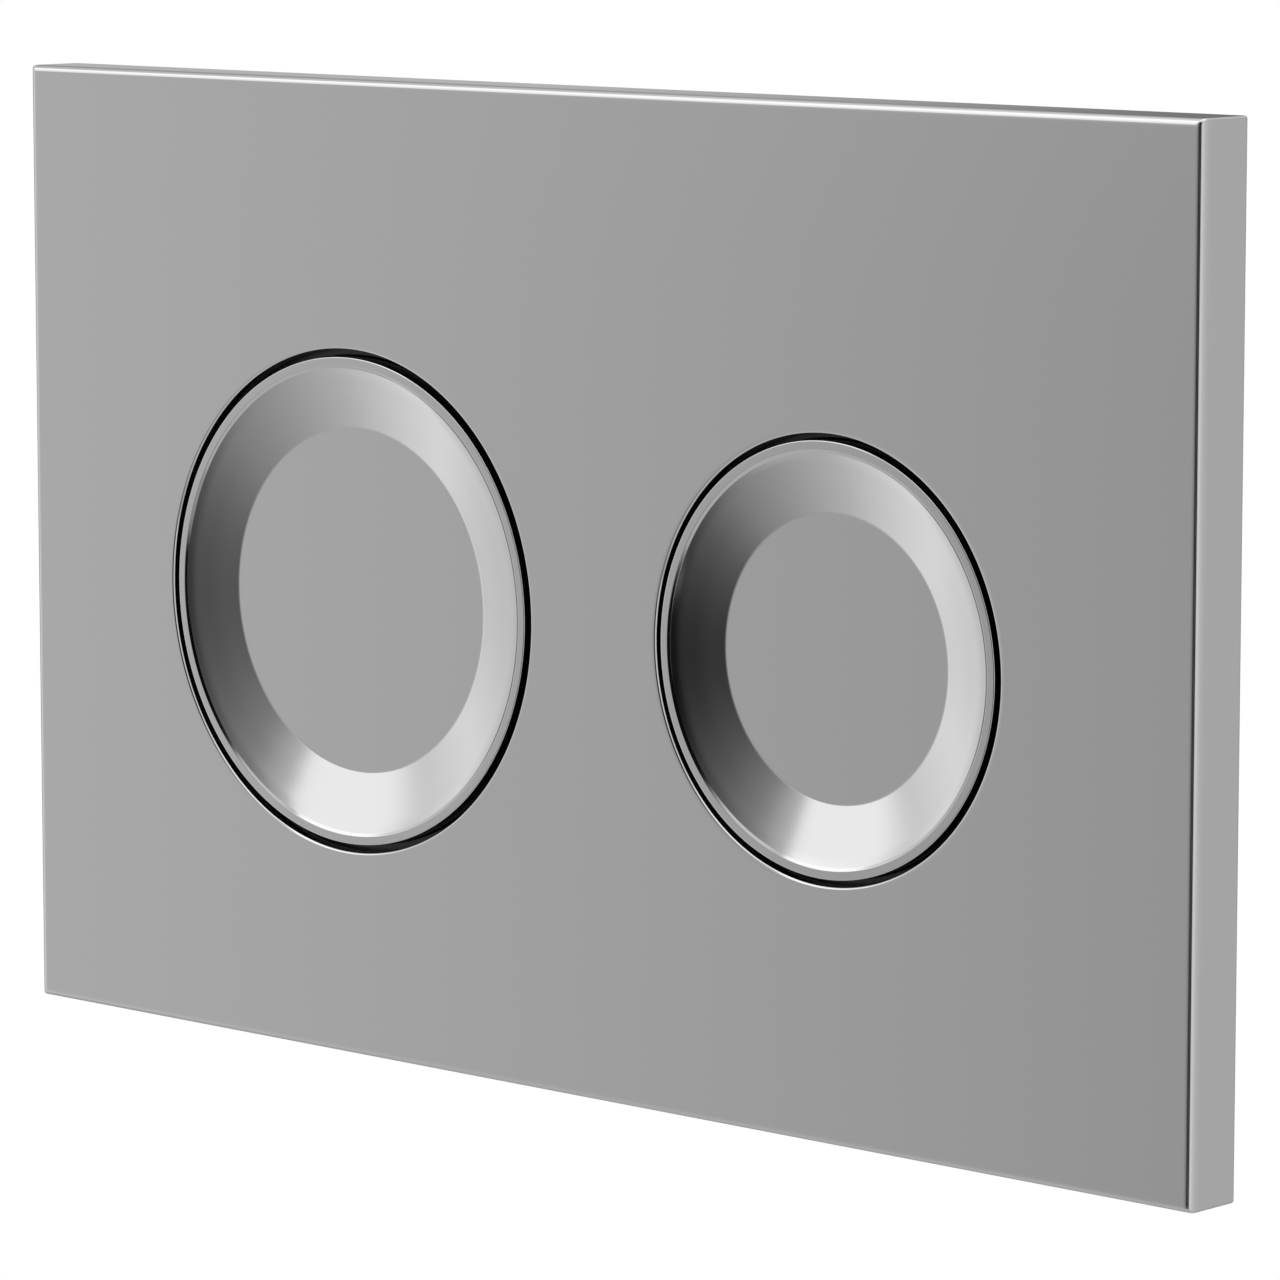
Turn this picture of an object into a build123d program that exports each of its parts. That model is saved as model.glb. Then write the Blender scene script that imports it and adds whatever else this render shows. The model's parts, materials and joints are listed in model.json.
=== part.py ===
from build123d import *
import math
import os

os.makedirs("parts", exist_ok=True)

# Frame: X to the right seen from the front, Y into the wall, Z up, all in mm.
# The origin is the middle of the plate on the wall plane, so the front face is at negative Y.

# how far a cut runs past a face, and how far a fused rib or leg reaches into what carries it
cut_past = 1.0
weld = 0.5
tolerance = 0.01

# face plate
plate_width = 250.0
plate_height = 160.0
plate_depth = 10.5
front_wall = 2.4
side_wall = 2.2
front_edge_radius = 1.8
corner_edge_radius = 0.45
inner_corner_radius = 1.0
hole_edge_bevel = 0.25
rib_height = 1.9
rib_thickness = 1.2
boss_r = 3.5
boss_height = 4.0

# buttons: full flush on the left, half flush on the right, at one height
full_flush = {"name": "full_flush", "x": -49.5, "cap_r": 40.0, "gap": 1.25, "disc_r": 28.3}
half_flush = {"name": "half_flush", "x": 53.5, "cap_r": 33.7, "gap": 1.0, "disc_r": 22.45}
buttons = [full_flush, half_flush]
button_z = -5.0
travel = 6.0
end_play = 0.3

# button cap
cap_wall = 1.8
dish_depth = 2.75
dish_sag = 0.05
rim_width = 1.4
rim_edge_bevel = 0.15
lip_drop = 0.28
lip_run = 0.44
hook_inset = 6.0
hook_thickness = 1.8
hook_width = 7.0
hook_catch = 0.8
hook_nose = 2.1
hook_play = 0.3
catch_play = 0.1
hook_angles = [45, 135, 225, 315]

# plunger and the rubber ring it stops on
plunger_floor = 2.0
plunger_skirt = 2.6
plunger_wall = 1.8
plunger_rib_thickness = 1.6
plunger_rib_play = 0.4
disc_play = 0.35
seat_play = 0.15
flange_overlap = 2.0
stop_ring_height = 1.0
stop_ring_width = 1.5
stop_ring_inset = 0.1
stem_r = 6.0
stem_stand_off = 4.0
spoke_angles = [0, 90, 180, 270]

# return spring, push rod, lock nut and rod tip
wire_d = 1.2
spring_mean_r = 9.0
spring_turns = 5
spring_steps_per_turn = 20
wire_sides = 8
spring_length = 21.6
rod_r = 4.0
thread_play = 0.05
bore_room = 2.0
rod_engagement = 20.0
rod_reach = 30.0
nut_height = 5.0
nut_flats = 13.0
tip_r = 6.0
tip_bore = 8.0
tip_cover = 4.0
tip_bevel = 2.0

# button carrier
carrier_wall = 2.0
carrier_margin_x = 2.0
carrier_margin_z = 4.5
carrier_corner_r = 8.0
screw_inset = 7.0
well_play = 0.3
well_front_play = 0.1
spring_play = 2.4
guide_play = 0.2
guide_length = 8.0
cage_wall = 3.5
leg_width = 5.0
spoke_width = 8.0
hub_land = 2.0
rim_land = 5.0
gusset_thickness = 1.8
gusset_inset = 1.0
buttress_reach = 7.0
buttress_toe = 0.5
buttress_inset = 1.0
buttress_angles = [50, 130, 230, 310]
tapper_r = 1.25
tapper_head_r = 2.9
tapper_head_height = 2.1
tapper_recess_span = 3.2
tapper_recess_width = 0.87
tapper_recess_depth = 1.2
tapper_tip_cover = 2.0
tapper_tip_play = 0.5

# mounting frame, its screws and the clips that hold the plate on it
frame_play = 1.8
frame_front_play = 0.2
frame_base = 3.0
frame_wall = 2.0
frame_corner_r = 4.0
frame_rib_thickness = 1.6
frame_rib_from_screw = 20.0
window_side_play = 1.5
window_top_play = 11.0
window_bottom_play = 3.0
window_corner_r = 6.0
frame_screw_inset = 9.0
screw_r = 3.0
screw_neck_r = 2.6
screw_reach = 12.5
screw_slot_play = 0.3
screw_slot_length = 10.0
screw_head_r = 5.75
screw_head_height = 3.2
screw_head_bevel = 0.8
screw_tip_bevel = 0.6
screw_recess_span = 5.75
screw_recess_width = 1.44
screw_recess_depth = 1.6
washer_r = 6.5
washer_height = 1.0
washer_play = 0.2
clip_sheet = 0.5
clip_length = 12.0
clip_bulge = 1.2
clip_inside_leg = 2.6
clip_lead = 1.0
clip_rise = 1.2
clip_fall = 1.4
ridge_height = 0.9
ridge_length = 18.0
ridge_lap = 0.2
ridge_end_play = 0.2

# places along Y, from the front of the plate to the ends of the push rods
front_y = -plate_depth
plate_back_y = front_y + front_wall
flange_front_y = plate_back_y + stop_ring_height
disc_y = front_y + dish_depth
floor_front_y = disc_y + cap_wall + disc_play
floor_back_y = floor_front_y + plunger_floor
skirt_end_y = floor_back_y + plunger_skirt
well_floor_front_y = skirt_end_y + travel + end_play
well_floor_back_y = well_floor_front_y + carrier_wall
guide_front_y = floor_back_y + spring_length
guide_back_y = guide_front_y + guide_length
stem_end_y = guide_back_y + stem_stand_off
rod_start_y = stem_end_y - rod_engagement
rod_end_y = stem_end_y + rod_reach
carrier_front_y = plate_back_y + boss_height
carrier_back_y = carrier_front_y + carrier_wall

# places across the plate
inner_half_width = plate_width / 2 - side_wall
inner_half_height = plate_height / 2 - side_wall
for button in buttons:
    button["hole_r"] = button["cap_r"] + button["gap"]
    button["flange_r"] = button["hole_r"] + flange_overlap
    button["well_r"] = button["flange_r"] + well_play
    button["well_outer_r"] = button["well_r"] + carrier_wall
carrier_half_width = max(abs(b["x"]) + b["well_outer_r"] for b in buttons) + carrier_margin_x
carrier_half_height = max(b["well_outer_r"] for b in buttons) + carrier_margin_z
left_well_edge = full_flush["x"] + full_flush["well_outer_r"]
right_well_edge = half_flush["x"] - half_flush["well_outer_r"]
middle_x = (left_well_edge + right_well_edge) / 2
boss_columns = [screw_inset - carrier_half_width, middle_x, carrier_half_width - screw_inset]
boss_rows = [button_z + s * (carrier_half_height - screw_inset) for s in [-1, 1]]
spring_outer_r = spring_mean_r + wire_d / 2
cage_inner_r = spring_outer_r + spring_play
cage_outer_r = cage_inner_r + cage_wall
frame_half_width = inner_half_width - frame_play
frame_half_height = inner_half_height - frame_play
frame_front_y = plate_back_y + rib_height + frame_front_play
window_half_width = carrier_half_width + window_side_play
window_top_z = button_z + carrier_half_height + window_top_play
window_bottom_z = button_z - carrier_half_height - window_bottom_play
screw_x = frame_half_width - frame_screw_inset
screw_z = frame_half_height - frame_screw_inset
screw_places = [(x, z) for x in [-screw_x, screw_x] for z in [-screw_z, screw_z]]
rib_x = screw_x - frame_rib_from_screw
rib_z = screw_z - frame_rib_from_screw
clip_x = 3 * rib_x / 4


def outline(points):
    return make_face(Polyline(*points, close=True))


def turned(profile, x, z):
    # revolve a closed (radius, y) outline about a line parallel to Y
    return Pos(x, 0, z) * revolve(profile, axis=Axis.Y)


def tube(x, z, outer_r, inner_r, y0, y1):
    return turned(outline([(inner_r, y0), (outer_r, y0), (outer_r, y1), (inner_r, y1)]), x, z)


def rod(x, z, r, y0, y1):
    return turned(outline([(0, y0), (r, y0), (r, y1), (0, y1)]), x, z)


def block(x0, x1, y0, y1, z0, z1):
    return Pos((x0 + x1) / 2, (y0 + y1) / 2, (z0 + z1) / 2) * Box(x1 - x0, y1 - y0, z1 - z0)


def upright(sketch, y0, y1):
    # extrude a sketch drawn in X and Z from y0 to y1
    plane = Plane(origin=(0, y0, 0), x_dir=(1, 0, 0), z_dir=(0, -1, 0))
    return extrude(plane * sketch, amount=-(y1 - y0))


def round_box(half_width, z0, z1, radius, y0, y1):
    rectangle = Pos(0, (z0 + z1) / 2) * RectangleRounded(2 * half_width, z1 - z0, radius)
    return upright(rectangle, y0, y1)


def radial_plate(points, thickness):
    # a plate standing on the (radius, y) outline, centred on the radius
    return Pos(0, 0, -thickness / 2) * extrude(outline(points), amount=thickness)


def sheet_along_x(profile, x, length):
    # extrude a (y, z) sketch along X, centred on x
    plane = Plane(origin=(x - length / 2, 0, 0), x_dir=(0, 1, 0), z_dir=(1, 0, 0))
    return extrude(plane * profile, amount=length)


def around(solid, button, angle):
    return Pos(button["x"], 0, button_z) * Rot(0, angle, 0) * solid


def cross_recess(x, z, span, width, y0, y1):
    bar = block(x - span / 2, x + span / 2, y0, y1, z - width / 2, z + width / 2)
    return bar + block(x - width / 2, x + width / 2, y0, y1, z - span / 2, z + span / 2)


def save(name, solids):
    shape = solids[0] if len(solids) == 1 else Compound(children=list(solids))
    shape.label = name
    export_step(shape, f"parts/{name}.step")


# shell of the face plate: two crossing bars with rounded front edges, hollowed from the back
def rounded_bar(width, length):
    section = Pos(0, -plate_depth / 2) * Rectangle(width, plate_depth)
    section = fillet(section.vertices().sort_by(Axis.Y)[:2], front_edge_radius)
    return Pos(0, 0, -length / 2) * extrude(section, amount=length)


def face_plate():
    shell = rounded_bar(plate_width, plate_height) & (Rot(0, 90, 0) * rounded_bar(plate_height, plate_width))
    shell = fillet(shell.edges().filter_by(Axis.Y), corner_edge_radius)
    shell -= round_box(inner_half_width, -inner_half_height, inner_half_height,
                       inner_corner_radius, plate_back_y, cut_past)
    rib_y = plate_back_y + rib_height
    half_rib = rib_thickness / 2
    for x in [boss_columns[0], boss_columns[-1]]:
        wall_x = math.copysign(inner_half_width, x)
        for z in boss_rows:
            shell += block(min(x, wall_x), max(x, wall_x), plate_back_y, rib_y, z - half_rib, z + half_rib)
    for x in boss_columns:
        shell += block(x - half_rib, x + half_rib, plate_back_y, rib_y, boss_rows[1], inner_half_height)
        shell += block(x - half_rib, x + half_rib, plate_back_y, rib_y, -inner_half_height, boss_rows[0])
    shell += block(middle_x - half_rib, middle_x + half_rib, plate_back_y, rib_y, *boss_rows)
    tapper_hole_y = front_y + tapper_tip_cover - tapper_tip_play
    for x in boss_columns:
        for z in boss_rows:
            shell += rod(x, z, boss_r, plate_back_y, carrier_front_y)
            shell -= rod(x, z, tapper_r + thread_play, tapper_hole_y, carrier_front_y)
    ridge_y0 = frame_front_y + clip_lead + clip_rise + clip_fall - ridge_lap
    ridge_y1 = -ridge_end_play
    crest = inner_half_height - ridge_height
    for sign in [1, -1]:
        flank = outline([
            (ridge_y0, sign * inner_half_height),
            (ridge_y0 + ridge_height, sign * crest),
            (ridge_y1 - ridge_height / 2, sign * crest),
            (ridge_y1, sign * inner_half_height),
        ])
        for x in [-clip_x, clip_x]:
            shell += sheet_along_x(flank, x, ridge_length)
    for button in buttons:
        hole_r = button["hole_r"]
        shell -= rod(button["x"], button_z, hole_r, front_y - cut_past, plate_back_y + rib_height)
        circles = shell.edges().filter_by(GeomType.CIRCLE)
        front_circles = circles.filter_by_position(Axis.Y, front_y - tolerance, front_y + tolerance)
        mouth = [edge for edge in front_circles if abs(edge.radius - hole_r) < tolerance]
        shell = chamfer(mouth, hole_edge_bevel)
    return shell


# cap: flat rim, small lip, shallow concave dish, flat disc, skirt and four snap hooks
def button_cap(button):
    cap_r, disc_r = button["cap_r"], button["disc_r"]
    rim_r = cap_r - rim_width
    dish_r = rim_r - lip_run
    dish_y = front_y + lip_drop
    skirt_r = cap_r - cap_wall
    dish_middle = ((dish_r + disc_r) / 2, (dish_y + disc_y) / 2 + dish_sag)
    disc = Line((0, disc_y), (disc_r, disc_y))
    dish = ThreePointArc((disc_r, disc_y), dish_middle, (dish_r, dish_y))
    rest = Polyline(
        (dish_r, dish_y),
        (rim_r, front_y),
        (cap_r - rim_edge_bevel, front_y),
        (cap_r, front_y + rim_edge_bevel),
        (cap_r, floor_front_y),
        (skirt_r, floor_front_y),
        (skirt_r, dish_y + cap_wall),
        (disc_r, disc_y + cap_wall),
        (0, disc_y + cap_wall),
        (0, disc_y),
    )
    cap = turned(make_face([disc, dish, *rest.edges()]), button["x"], button_z)
    hook_r = cap_r - hook_inset
    down_the_dish = (dish_r - hook_r) / (dish_r - disc_r)
    root_y = dish_y + down_the_dish * (disc_y - dish_y) + cap_wall / 2
    inside_r, outside_r = hook_r - hook_thickness / 2, hook_r + hook_thickness / 2
    catch_y = floor_back_y + catch_play
    hook = radial_plate([
        (inside_r, root_y),
        (outside_r, root_y),
        (outside_r, catch_y),
        (outside_r + hook_catch, catch_y),
        (outside_r, catch_y + hook_nose),
        (inside_r, catch_y + hook_nose),
    ], hook_width)
    for angle in hook_angles:
        cap += around(hook, button, angle)
    return cap


# plunger: flanged cup under the cap with a hollow stem, ribs and slots for the hooks
def plunger(button):
    x, flange_r = button["x"], button["flange_r"]
    seat_r = button["cap_r"] + seat_play
    inner_r = flange_r - plunger_wall
    cup = turned(outline([
        (0, floor_front_y),
        (seat_r, floor_front_y),
        (seat_r, flange_front_y),
        (flange_r, flange_front_y),
        (flange_r, skirt_end_y),
        (inner_r, skirt_end_y),
        (inner_r, floor_back_y),
        (stem_r, floor_back_y),
        (stem_r, stem_end_y),
        (0, stem_end_y),
    ]), x, button_z)
    cup -= rod(x, button_z, rod_r + thread_play, rod_start_y - bore_room, stem_end_y)
    half_rib = plunger_rib_thickness / 2
    rib_end_y = skirt_end_y - plunger_rib_play
    rib = block(cage_inner_r, inner_r + plunger_wall / 2, floor_back_y, rib_end_y, -half_rib, half_rib)
    for angle in spoke_angles:
        cup += around(rib, button, angle)
    hook_r = button["cap_r"] - hook_inset
    slot_r0 = hook_r - hook_thickness / 2 - hook_catch - hook_play
    slot_r1 = hook_r + hook_thickness / 2 + hook_play
    half_slot = hook_width / 2 + hook_play
    slot = block(slot_r0, slot_r1, floor_front_y - cut_past, floor_back_y + cut_past, -half_slot, half_slot)
    for angle in hook_angles:
        cup -= around(slot, button, angle)
    return cup


def stop_ring(button):
    ring_r = button["flange_r"] - stop_ring_inset
    return tube(button["x"], button_z, ring_r, ring_r - stop_ring_width, plate_back_y, flange_front_y)


# return spring between the plunger and the guide ring: a wire in short straight steps along a helix
def return_spring(button):
    rise = spring_length - wire_d
    steps = spring_turns * spring_steps_per_turn
    step = math.tau / spring_steps_per_turn
    path = Polyline(*[
        (spring_mean_r * math.cos(i * step), spring_mean_r * math.sin(i * step), rise * i / steps)
        for i in range(steps + 1)
    ])
    wire = Plane(origin=path @ 0, z_dir=path % 0) * RegularPolygon(wire_d / 2, wire_sides)
    coil = sweep(wire, path=path, transition=Transition.RIGHT)
    return Pos(button["x"], floor_back_y + wire_d / 2, button_z) * Rot(-90, 0, 0) * coil


def push_rod(button):
    return rod(button["x"], button_z, rod_r, rod_start_y, rod_end_y)


def lock_nut(button):
    hexagon = Pos(button["x"], button_z) * RegularPolygon(nut_flats / 2, 6, major_radius=False)
    nut = upright(hexagon, stem_end_y, stem_end_y + nut_height)
    bore_y0, bore_y1 = stem_end_y - cut_past, stem_end_y + nut_height + cut_past
    return nut - rod(button["x"], button_z, rod_r + thread_play, bore_y0, bore_y1)


def rod_tip(button):
    x = button["x"]
    tip = rod(x, button_z, tip_r, rod_end_y - tip_bore, rod_end_y + tip_cover)
    tip = chamfer(tip.edges().sort_by(Axis.Y)[-1], tip_bevel)
    return tip - rod(x, button_z, rod_r + thread_play, rod_end_y - tip_bore - cut_past, rod_end_y)


# carrier: one moulding with a well, a spoked floor and a spring cage for each button
def add_well(carrier, button):
    x, well_r, well_outer_r = button["x"], button["well_r"], button["well_outer_r"]
    past_floor = [well_floor_front_y - cut_past, well_floor_back_y + cut_past]
    hub_r = cage_outer_r + hub_land
    carrier -= rod(x, button_z, well_r, plate_back_y - cut_past, well_floor_front_y)
    carrier -= rod(x, button_z, cage_inner_r, *past_floor)
    windows = tube(x, button_z, well_r - rim_land, hub_r, *past_floor)
    spoke = block(hub_r - cut_past, well_r, *past_floor, -spoke_width / 2, spoke_width / 2)
    for angle in spoke_angles:
        windows -= around(spoke, button, angle)
    carrier -= windows
    leg = block(cage_inner_r, cage_outer_r, well_floor_front_y, guide_back_y, -leg_width / 2, leg_width / 2)
    gusset = radial_plate([
        (cage_outer_r - weld, well_floor_front_y + weld),
        (well_r - gusset_inset, well_floor_front_y + weld),
        (well_r - gusset_inset, well_floor_back_y),
        (cage_outer_r, guide_back_y - guide_length / 2),
        (cage_outer_r - weld, guide_back_y - guide_length / 2),
    ], gusset_thickness)
    for angle in spoke_angles:
        carrier += around(leg, button, angle)
        carrier += around(gusset, button, angle)
    carrier += tube(x, button_z, cage_outer_r, stem_r + guide_play, guide_front_y, guide_back_y)
    buttress = radial_plate([
        (well_outer_r - weld, carrier_back_y - weld),
        (well_outer_r + buttress_reach, carrier_back_y - weld),
        (well_outer_r + buttress_reach, carrier_back_y + buttress_toe),
        (well_outer_r, well_floor_back_y - buttress_inset),
        (well_outer_r - weld, well_floor_back_y - buttress_inset),
    ], gusset_thickness)
    for angle in buttress_angles:
        carrier += around(buttress, button, angle)
    return carrier


def button_carrier():
    bottom_z, top_z = button_z - carrier_half_height, button_z + carrier_half_height
    carrier = round_box(carrier_half_width, bottom_z, top_z, carrier_corner_r,
                        carrier_front_y, carrier_back_y)
    well_front_y = plate_back_y + well_front_play
    for button in buttons:
        carrier += rod(button["x"], button_z, button["well_outer_r"], well_front_y, well_floor_back_y)
    for button in buttons:
        carrier = add_well(carrier, button)
    for x in boss_columns:
        for z in boss_rows:
            carrier -= rod(x, z, tapper_r + screw_slot_play, carrier_front_y - cut_past,
                           carrier_back_y + cut_past)
    return carrier


# self-tapping screws that hold the carrier on the bosses of the face plate
def carrier_screw(x, z):
    head_y = carrier_back_y + tapper_head_height
    screw = rod(x, z, tapper_r, front_y + tapper_tip_cover, carrier_back_y)
    screw += rod(x, z, tapper_head_r, carrier_back_y, head_y)
    return screw - cross_recess(x, z, tapper_recess_span, tapper_recess_width,
                                head_y - tapper_recess_depth, head_y + cut_past)


# mounting frame: a channel-section ring with ribs across the channel and slots for its screws
def mounting_frame():
    half_width, half_height = frame_half_width, frame_half_height
    frame = round_box(half_width, -half_height, half_height, frame_corner_r, frame_front_y, 0)
    frame -= round_box(half_width - frame_wall, frame_wall - half_height, half_height - frame_wall,
                       frame_corner_r - frame_wall, frame_front_y - cut_past, -frame_base)
    frame += round_box(window_half_width + frame_wall, window_bottom_z - frame_wall,
                       window_top_z + frame_wall, window_corner_r + frame_wall, frame_front_y, 0)
    frame -= round_box(window_half_width, window_bottom_z, window_top_z, window_corner_r,
                       frame_front_y - cut_past, cut_past)
    half_rib = frame_rib_thickness / 2
    half_wall = frame_wall / 2
    for x in [-rib_x, -rib_x / 2, 0, rib_x / 2, rib_x]:
        for z0, z1 in [
            (window_top_z + half_wall, half_height - half_wall),
            (half_wall - half_height, window_bottom_z - half_wall),
        ]:
            frame += block(x - half_rib, x + half_rib, frame_front_y, -frame_base, z0, z1)
    for z in [-rib_z, -rib_z / 3, rib_z / 3, rib_z]:
        for x0, x1 in [
            (window_half_width + half_wall, half_width - half_wall),
            (half_wall - half_width, -window_half_width - half_wall),
        ]:
            frame += block(x0, x1, frame_front_y, -frame_base, z - half_rib, z + half_rib)
    slot_width = 2 * (screw_r + screw_slot_play)
    for x, z in screw_places:
        slot = Pos(x, z) * SlotOverall(screw_slot_length, slot_width, rotation=90)
        frame -= upright(slot, -frame_base - cut_past, cut_past)
    return frame


def frame_screw(x, z):
    seat_y = -frame_base - washer_height
    top_y = seat_y - screw_head_height
    head = rod(x, z, screw_head_r, top_y, seat_y)
    head = chamfer(head.edges().sort_by(Axis.Y)[0], screw_head_bevel)
    shank = rod(x, z, screw_r, 0, screw_reach)
    shank = chamfer(shank.edges().sort_by(Axis.Y)[-1], screw_tip_bevel)
    screw = head + rod(x, z, screw_neck_r, seat_y, 0) + shank
    return screw - cross_recess(x, z, screw_recess_span, screw_recess_width,
                                top_y - cut_past, top_y + screw_recess_depth)


def frame_washer(x, z):
    return tube(x, z, washer_r, screw_r + washer_play, -frame_base - washer_height, -frame_base)


# spring-steel clip over the rim of the frame that catches a ridge inside the face plate
def plate_clip(x, sign):
    half_sheet = clip_sheet / 2
    inside_z = frame_half_height - frame_wall - half_sheet
    outside_z = frame_half_height + half_sheet
    lead_y = frame_front_y + clip_lead
    bend = Polyline(
        (frame_front_y + clip_inside_leg, sign * inside_z),
        (frame_front_y - half_sheet, sign * inside_z),
        (frame_front_y - half_sheet, sign * outside_z),
        (lead_y, sign * outside_z),
        (lead_y + clip_rise, sign * (frame_half_height + clip_bulge)),
        (lead_y + clip_rise + clip_fall, sign * outside_z),
    )
    return sheet_along_x(trace(bend, clip_sheet), x, clip_length)


save("face_plate", [face_plate()])
for button in buttons:
    for piece, make in [
        ("button", button_cap),
        ("plunger", plunger),
        ("stop_ring", stop_ring),
        ("spring", return_spring),
        ("push_rod", push_rod),
        ("lock_nut", lock_nut),
        ("rod_tip", rod_tip),
    ]:
        save(f"{button['name']}_{piece}", [make(button)])
save("button_carrier", [button_carrier()])
save("carrier_screws", [carrier_screw(x, z) for x in boss_columns for z in boss_rows])
save("mounting_frame", [mounting_frame()])
save("frame_screws", [frame_screw(x, z) for x, z in screw_places])
save("frame_washers", [frame_washer(x, z) for x, z in screw_places])
save("plate_clips", [plate_clip(x, sign) for x in [-clip_x, clip_x] for sign in [1, -1]])
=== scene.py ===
import json
import math

import bmesh
import bpy
import numpy as np
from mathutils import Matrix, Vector


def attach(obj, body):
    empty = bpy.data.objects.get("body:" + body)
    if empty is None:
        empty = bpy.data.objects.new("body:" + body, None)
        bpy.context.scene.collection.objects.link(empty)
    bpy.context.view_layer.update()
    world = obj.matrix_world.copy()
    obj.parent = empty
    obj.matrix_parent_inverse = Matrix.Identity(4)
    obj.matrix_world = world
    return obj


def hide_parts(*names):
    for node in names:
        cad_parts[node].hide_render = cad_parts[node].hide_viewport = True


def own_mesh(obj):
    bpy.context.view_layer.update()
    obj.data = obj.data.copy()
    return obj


# Flush button plate. Sizes are in mm, with +X to the right, +Y into the wall and +Z up.
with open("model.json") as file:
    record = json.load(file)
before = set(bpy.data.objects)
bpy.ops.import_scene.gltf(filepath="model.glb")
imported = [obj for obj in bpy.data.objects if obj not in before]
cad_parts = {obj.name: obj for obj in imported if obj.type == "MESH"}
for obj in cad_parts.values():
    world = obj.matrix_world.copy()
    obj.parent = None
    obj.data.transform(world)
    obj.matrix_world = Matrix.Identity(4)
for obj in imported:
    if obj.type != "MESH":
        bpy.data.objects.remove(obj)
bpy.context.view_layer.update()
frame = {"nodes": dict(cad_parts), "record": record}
print("frame loaded, nodes:", len(frame["nodes"]))

mm = 0.001  # in Blender's metres
shared = {
    "front": -10.5,  # front of the plate
    "inside": -8.1,  # back of its front wall
    "buttonX": {"full_flush": -49.5, "half_flush": 53.5},
    "buttonZ": -5.0,
    "plungerFloor": -3.6,  # where the springs stand
    "guideFront": 18.0,  # where the springs end
    "travel": 6.0,
    "bossColumns": (-90.05, 5.275, 90.05),
    "bossRows": (-48.05, 38.05),
    "frameHoleX": 112.0,
    "frameHoleZ": 67.0,
}
bosses = [(x, z) for x in shared["bossColumns"] for z in shared["bossRows"]]
frameHoles = [(i * shared["frameHoleX"], j * shared["frameHoleZ"]) for i in (-1, 1) for j in (-1, 1)]


def linear(hexCode):
    # sRGB hex to linear: divided by 12.92 near black, and the 2.4 power curve above that
    parts = [int(hexCode[i:i + 2], 16) / 255 for i in (0, 2, 4)]
    return tuple(c / 12.92 if c <= 0.04045 else ((c + 0.055) / 1.055) ** 2.4 for c in parts) + (1.0,)


def grey(level):
    return (level, level, level, 1.0)


def addNode(tree, kind, settings=None, values=None, links=None):
    # one node with its properties, the values of its sockets and what is linked into them
    node = tree.nodes.new(kind)
    for key, value in (settings or {}).items():
        setattr(node, key, value)
    for key, value in (values or {}).items():
        node.inputs[key].default_value = value
    for key, socket in (links or {}).items():
        tree.links.new(socket, node.inputs[key])
    return node


def newTree(name):
    material = bpy.data.materials.new(name)
    material.use_nodes = True
    material.node_tree.nodes.clear()
    return material, material.node_tree


# Sockets of a colour mix go by number, because their names repeat.
mixShare, mixFirst, mixSecond, mixResult = 0, 6, 7, 2


def mixColours(tree, values, links):
    return addNode(tree, "ShaderNodeMix", {"data_type": "RGBA"}, values, links).outputs[mixResult]


def objectNoise(tree, patchMm, detail):
    # soft noise that stays on the piece: its scale is the number of patches in a metre
    place = addNode(tree, "ShaderNodeTexCoord")
    noise = addNode(tree, "ShaderNodeTexNoise", None, {"Scale": 1000 / patchMm, "Detail": detail},
                    {"Vector": place.outputs["Object"]})
    return noise.outputs["Fac"]


def varied(tree, noise, middle, spread):
    # noise of 0 to 1 becomes middle - spread to middle + spread
    span = addNode(tree, "ShaderNodeMapRange", None,
                   {"To Min": middle - spread, "To Max": middle + spread}, {"Value": noise})
    return span.outputs["Result"]


# Chrome plate on moulded ABS, satin: a clean grey mirror blurred by a very fine even matting.
satinChrome = {
    "colour": "c8c8c8",
    "glancing": 0.55,  # share of the mirror left at a glancing angle, where chrome dips
    "roughness": 0.1,
    "spread": 0.012,  # how far the matting wanders
    "patchMm": 35.0,  # size of its patches
    "detail": 3.0,
}


def makeSatinChrome(p):
    material, tree = newTree("satinChromeOnAbs")
    patch = objectNoise(tree, p["patchMm"], p["detail"])
    shader = addNode(tree, "ShaderNodeBsdfPrincipled", None,
                     {"Base Color": linear(p["colour"]), "Metallic": 1.0,
                      "Specular Tint": grey(p["glancing"])},
                     {"Roughness": varied(tree, patch, p["roughness"], p["spread"])})
    addNode(tree, "ShaderNodeOutputMaterial", links={"Surface": shader.outputs["BSDF"]})
    return material


# Moulded plastics: the dye varies a little, the tool's spark-eroded grain breaks the gloss and
# the edges are rounded. The grain is drawn coarser than the real 0.05 mm, so that it shows.
mouldedFinishes = {
    "blackAbsMoulded": {
        "dark": "242526", "light": "2e2f30", "roughness": 0.52, "grainMm": 0.35, "depthMm": 0.02},
    "greyAbsMoulded": {
        "dark": "b3b5b6", "light": "bfc1c2", "roughness": 0.5, "grainMm": 0.4, "depthMm": 0.02},
    "blackAcetalMoulded": {
        "dark": "1d1e1f", "light": "252627", "roughness": 0.36, "grainMm": 0.3, "depthMm": 0.01},
    "whiteAcetalMoulded": {
        "dark": "dcdbd6", "light": "e6e5e1", "roughness": 0.34, "grainMm": 0.3, "depthMm": 0.01},
    "greyAcetalMoulded": {
        "dark": "8f9294", "light": "999c9e", "roughness": 0.36, "grainMm": 0.3, "depthMm": 0.01},
    "blackRubberMoulded": {
        "dark": "1a1a1a", "light": "242424", "roughness": 0.78, "grainMm": 0.5, "depthMm": 0.03},
}
moulded = {
    "patchMm": 18.0,  # size of the dye's patches
    "patchDetail": 4.0,
    "grainDetail": 2.0,
    "spread": 0.06,  # how far the roughness follows the grain
    "bump": 0.35,
    "edgeMm": 0.25,
    "edgeSamples": 6,
    "refraction": 1.5,
}


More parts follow.
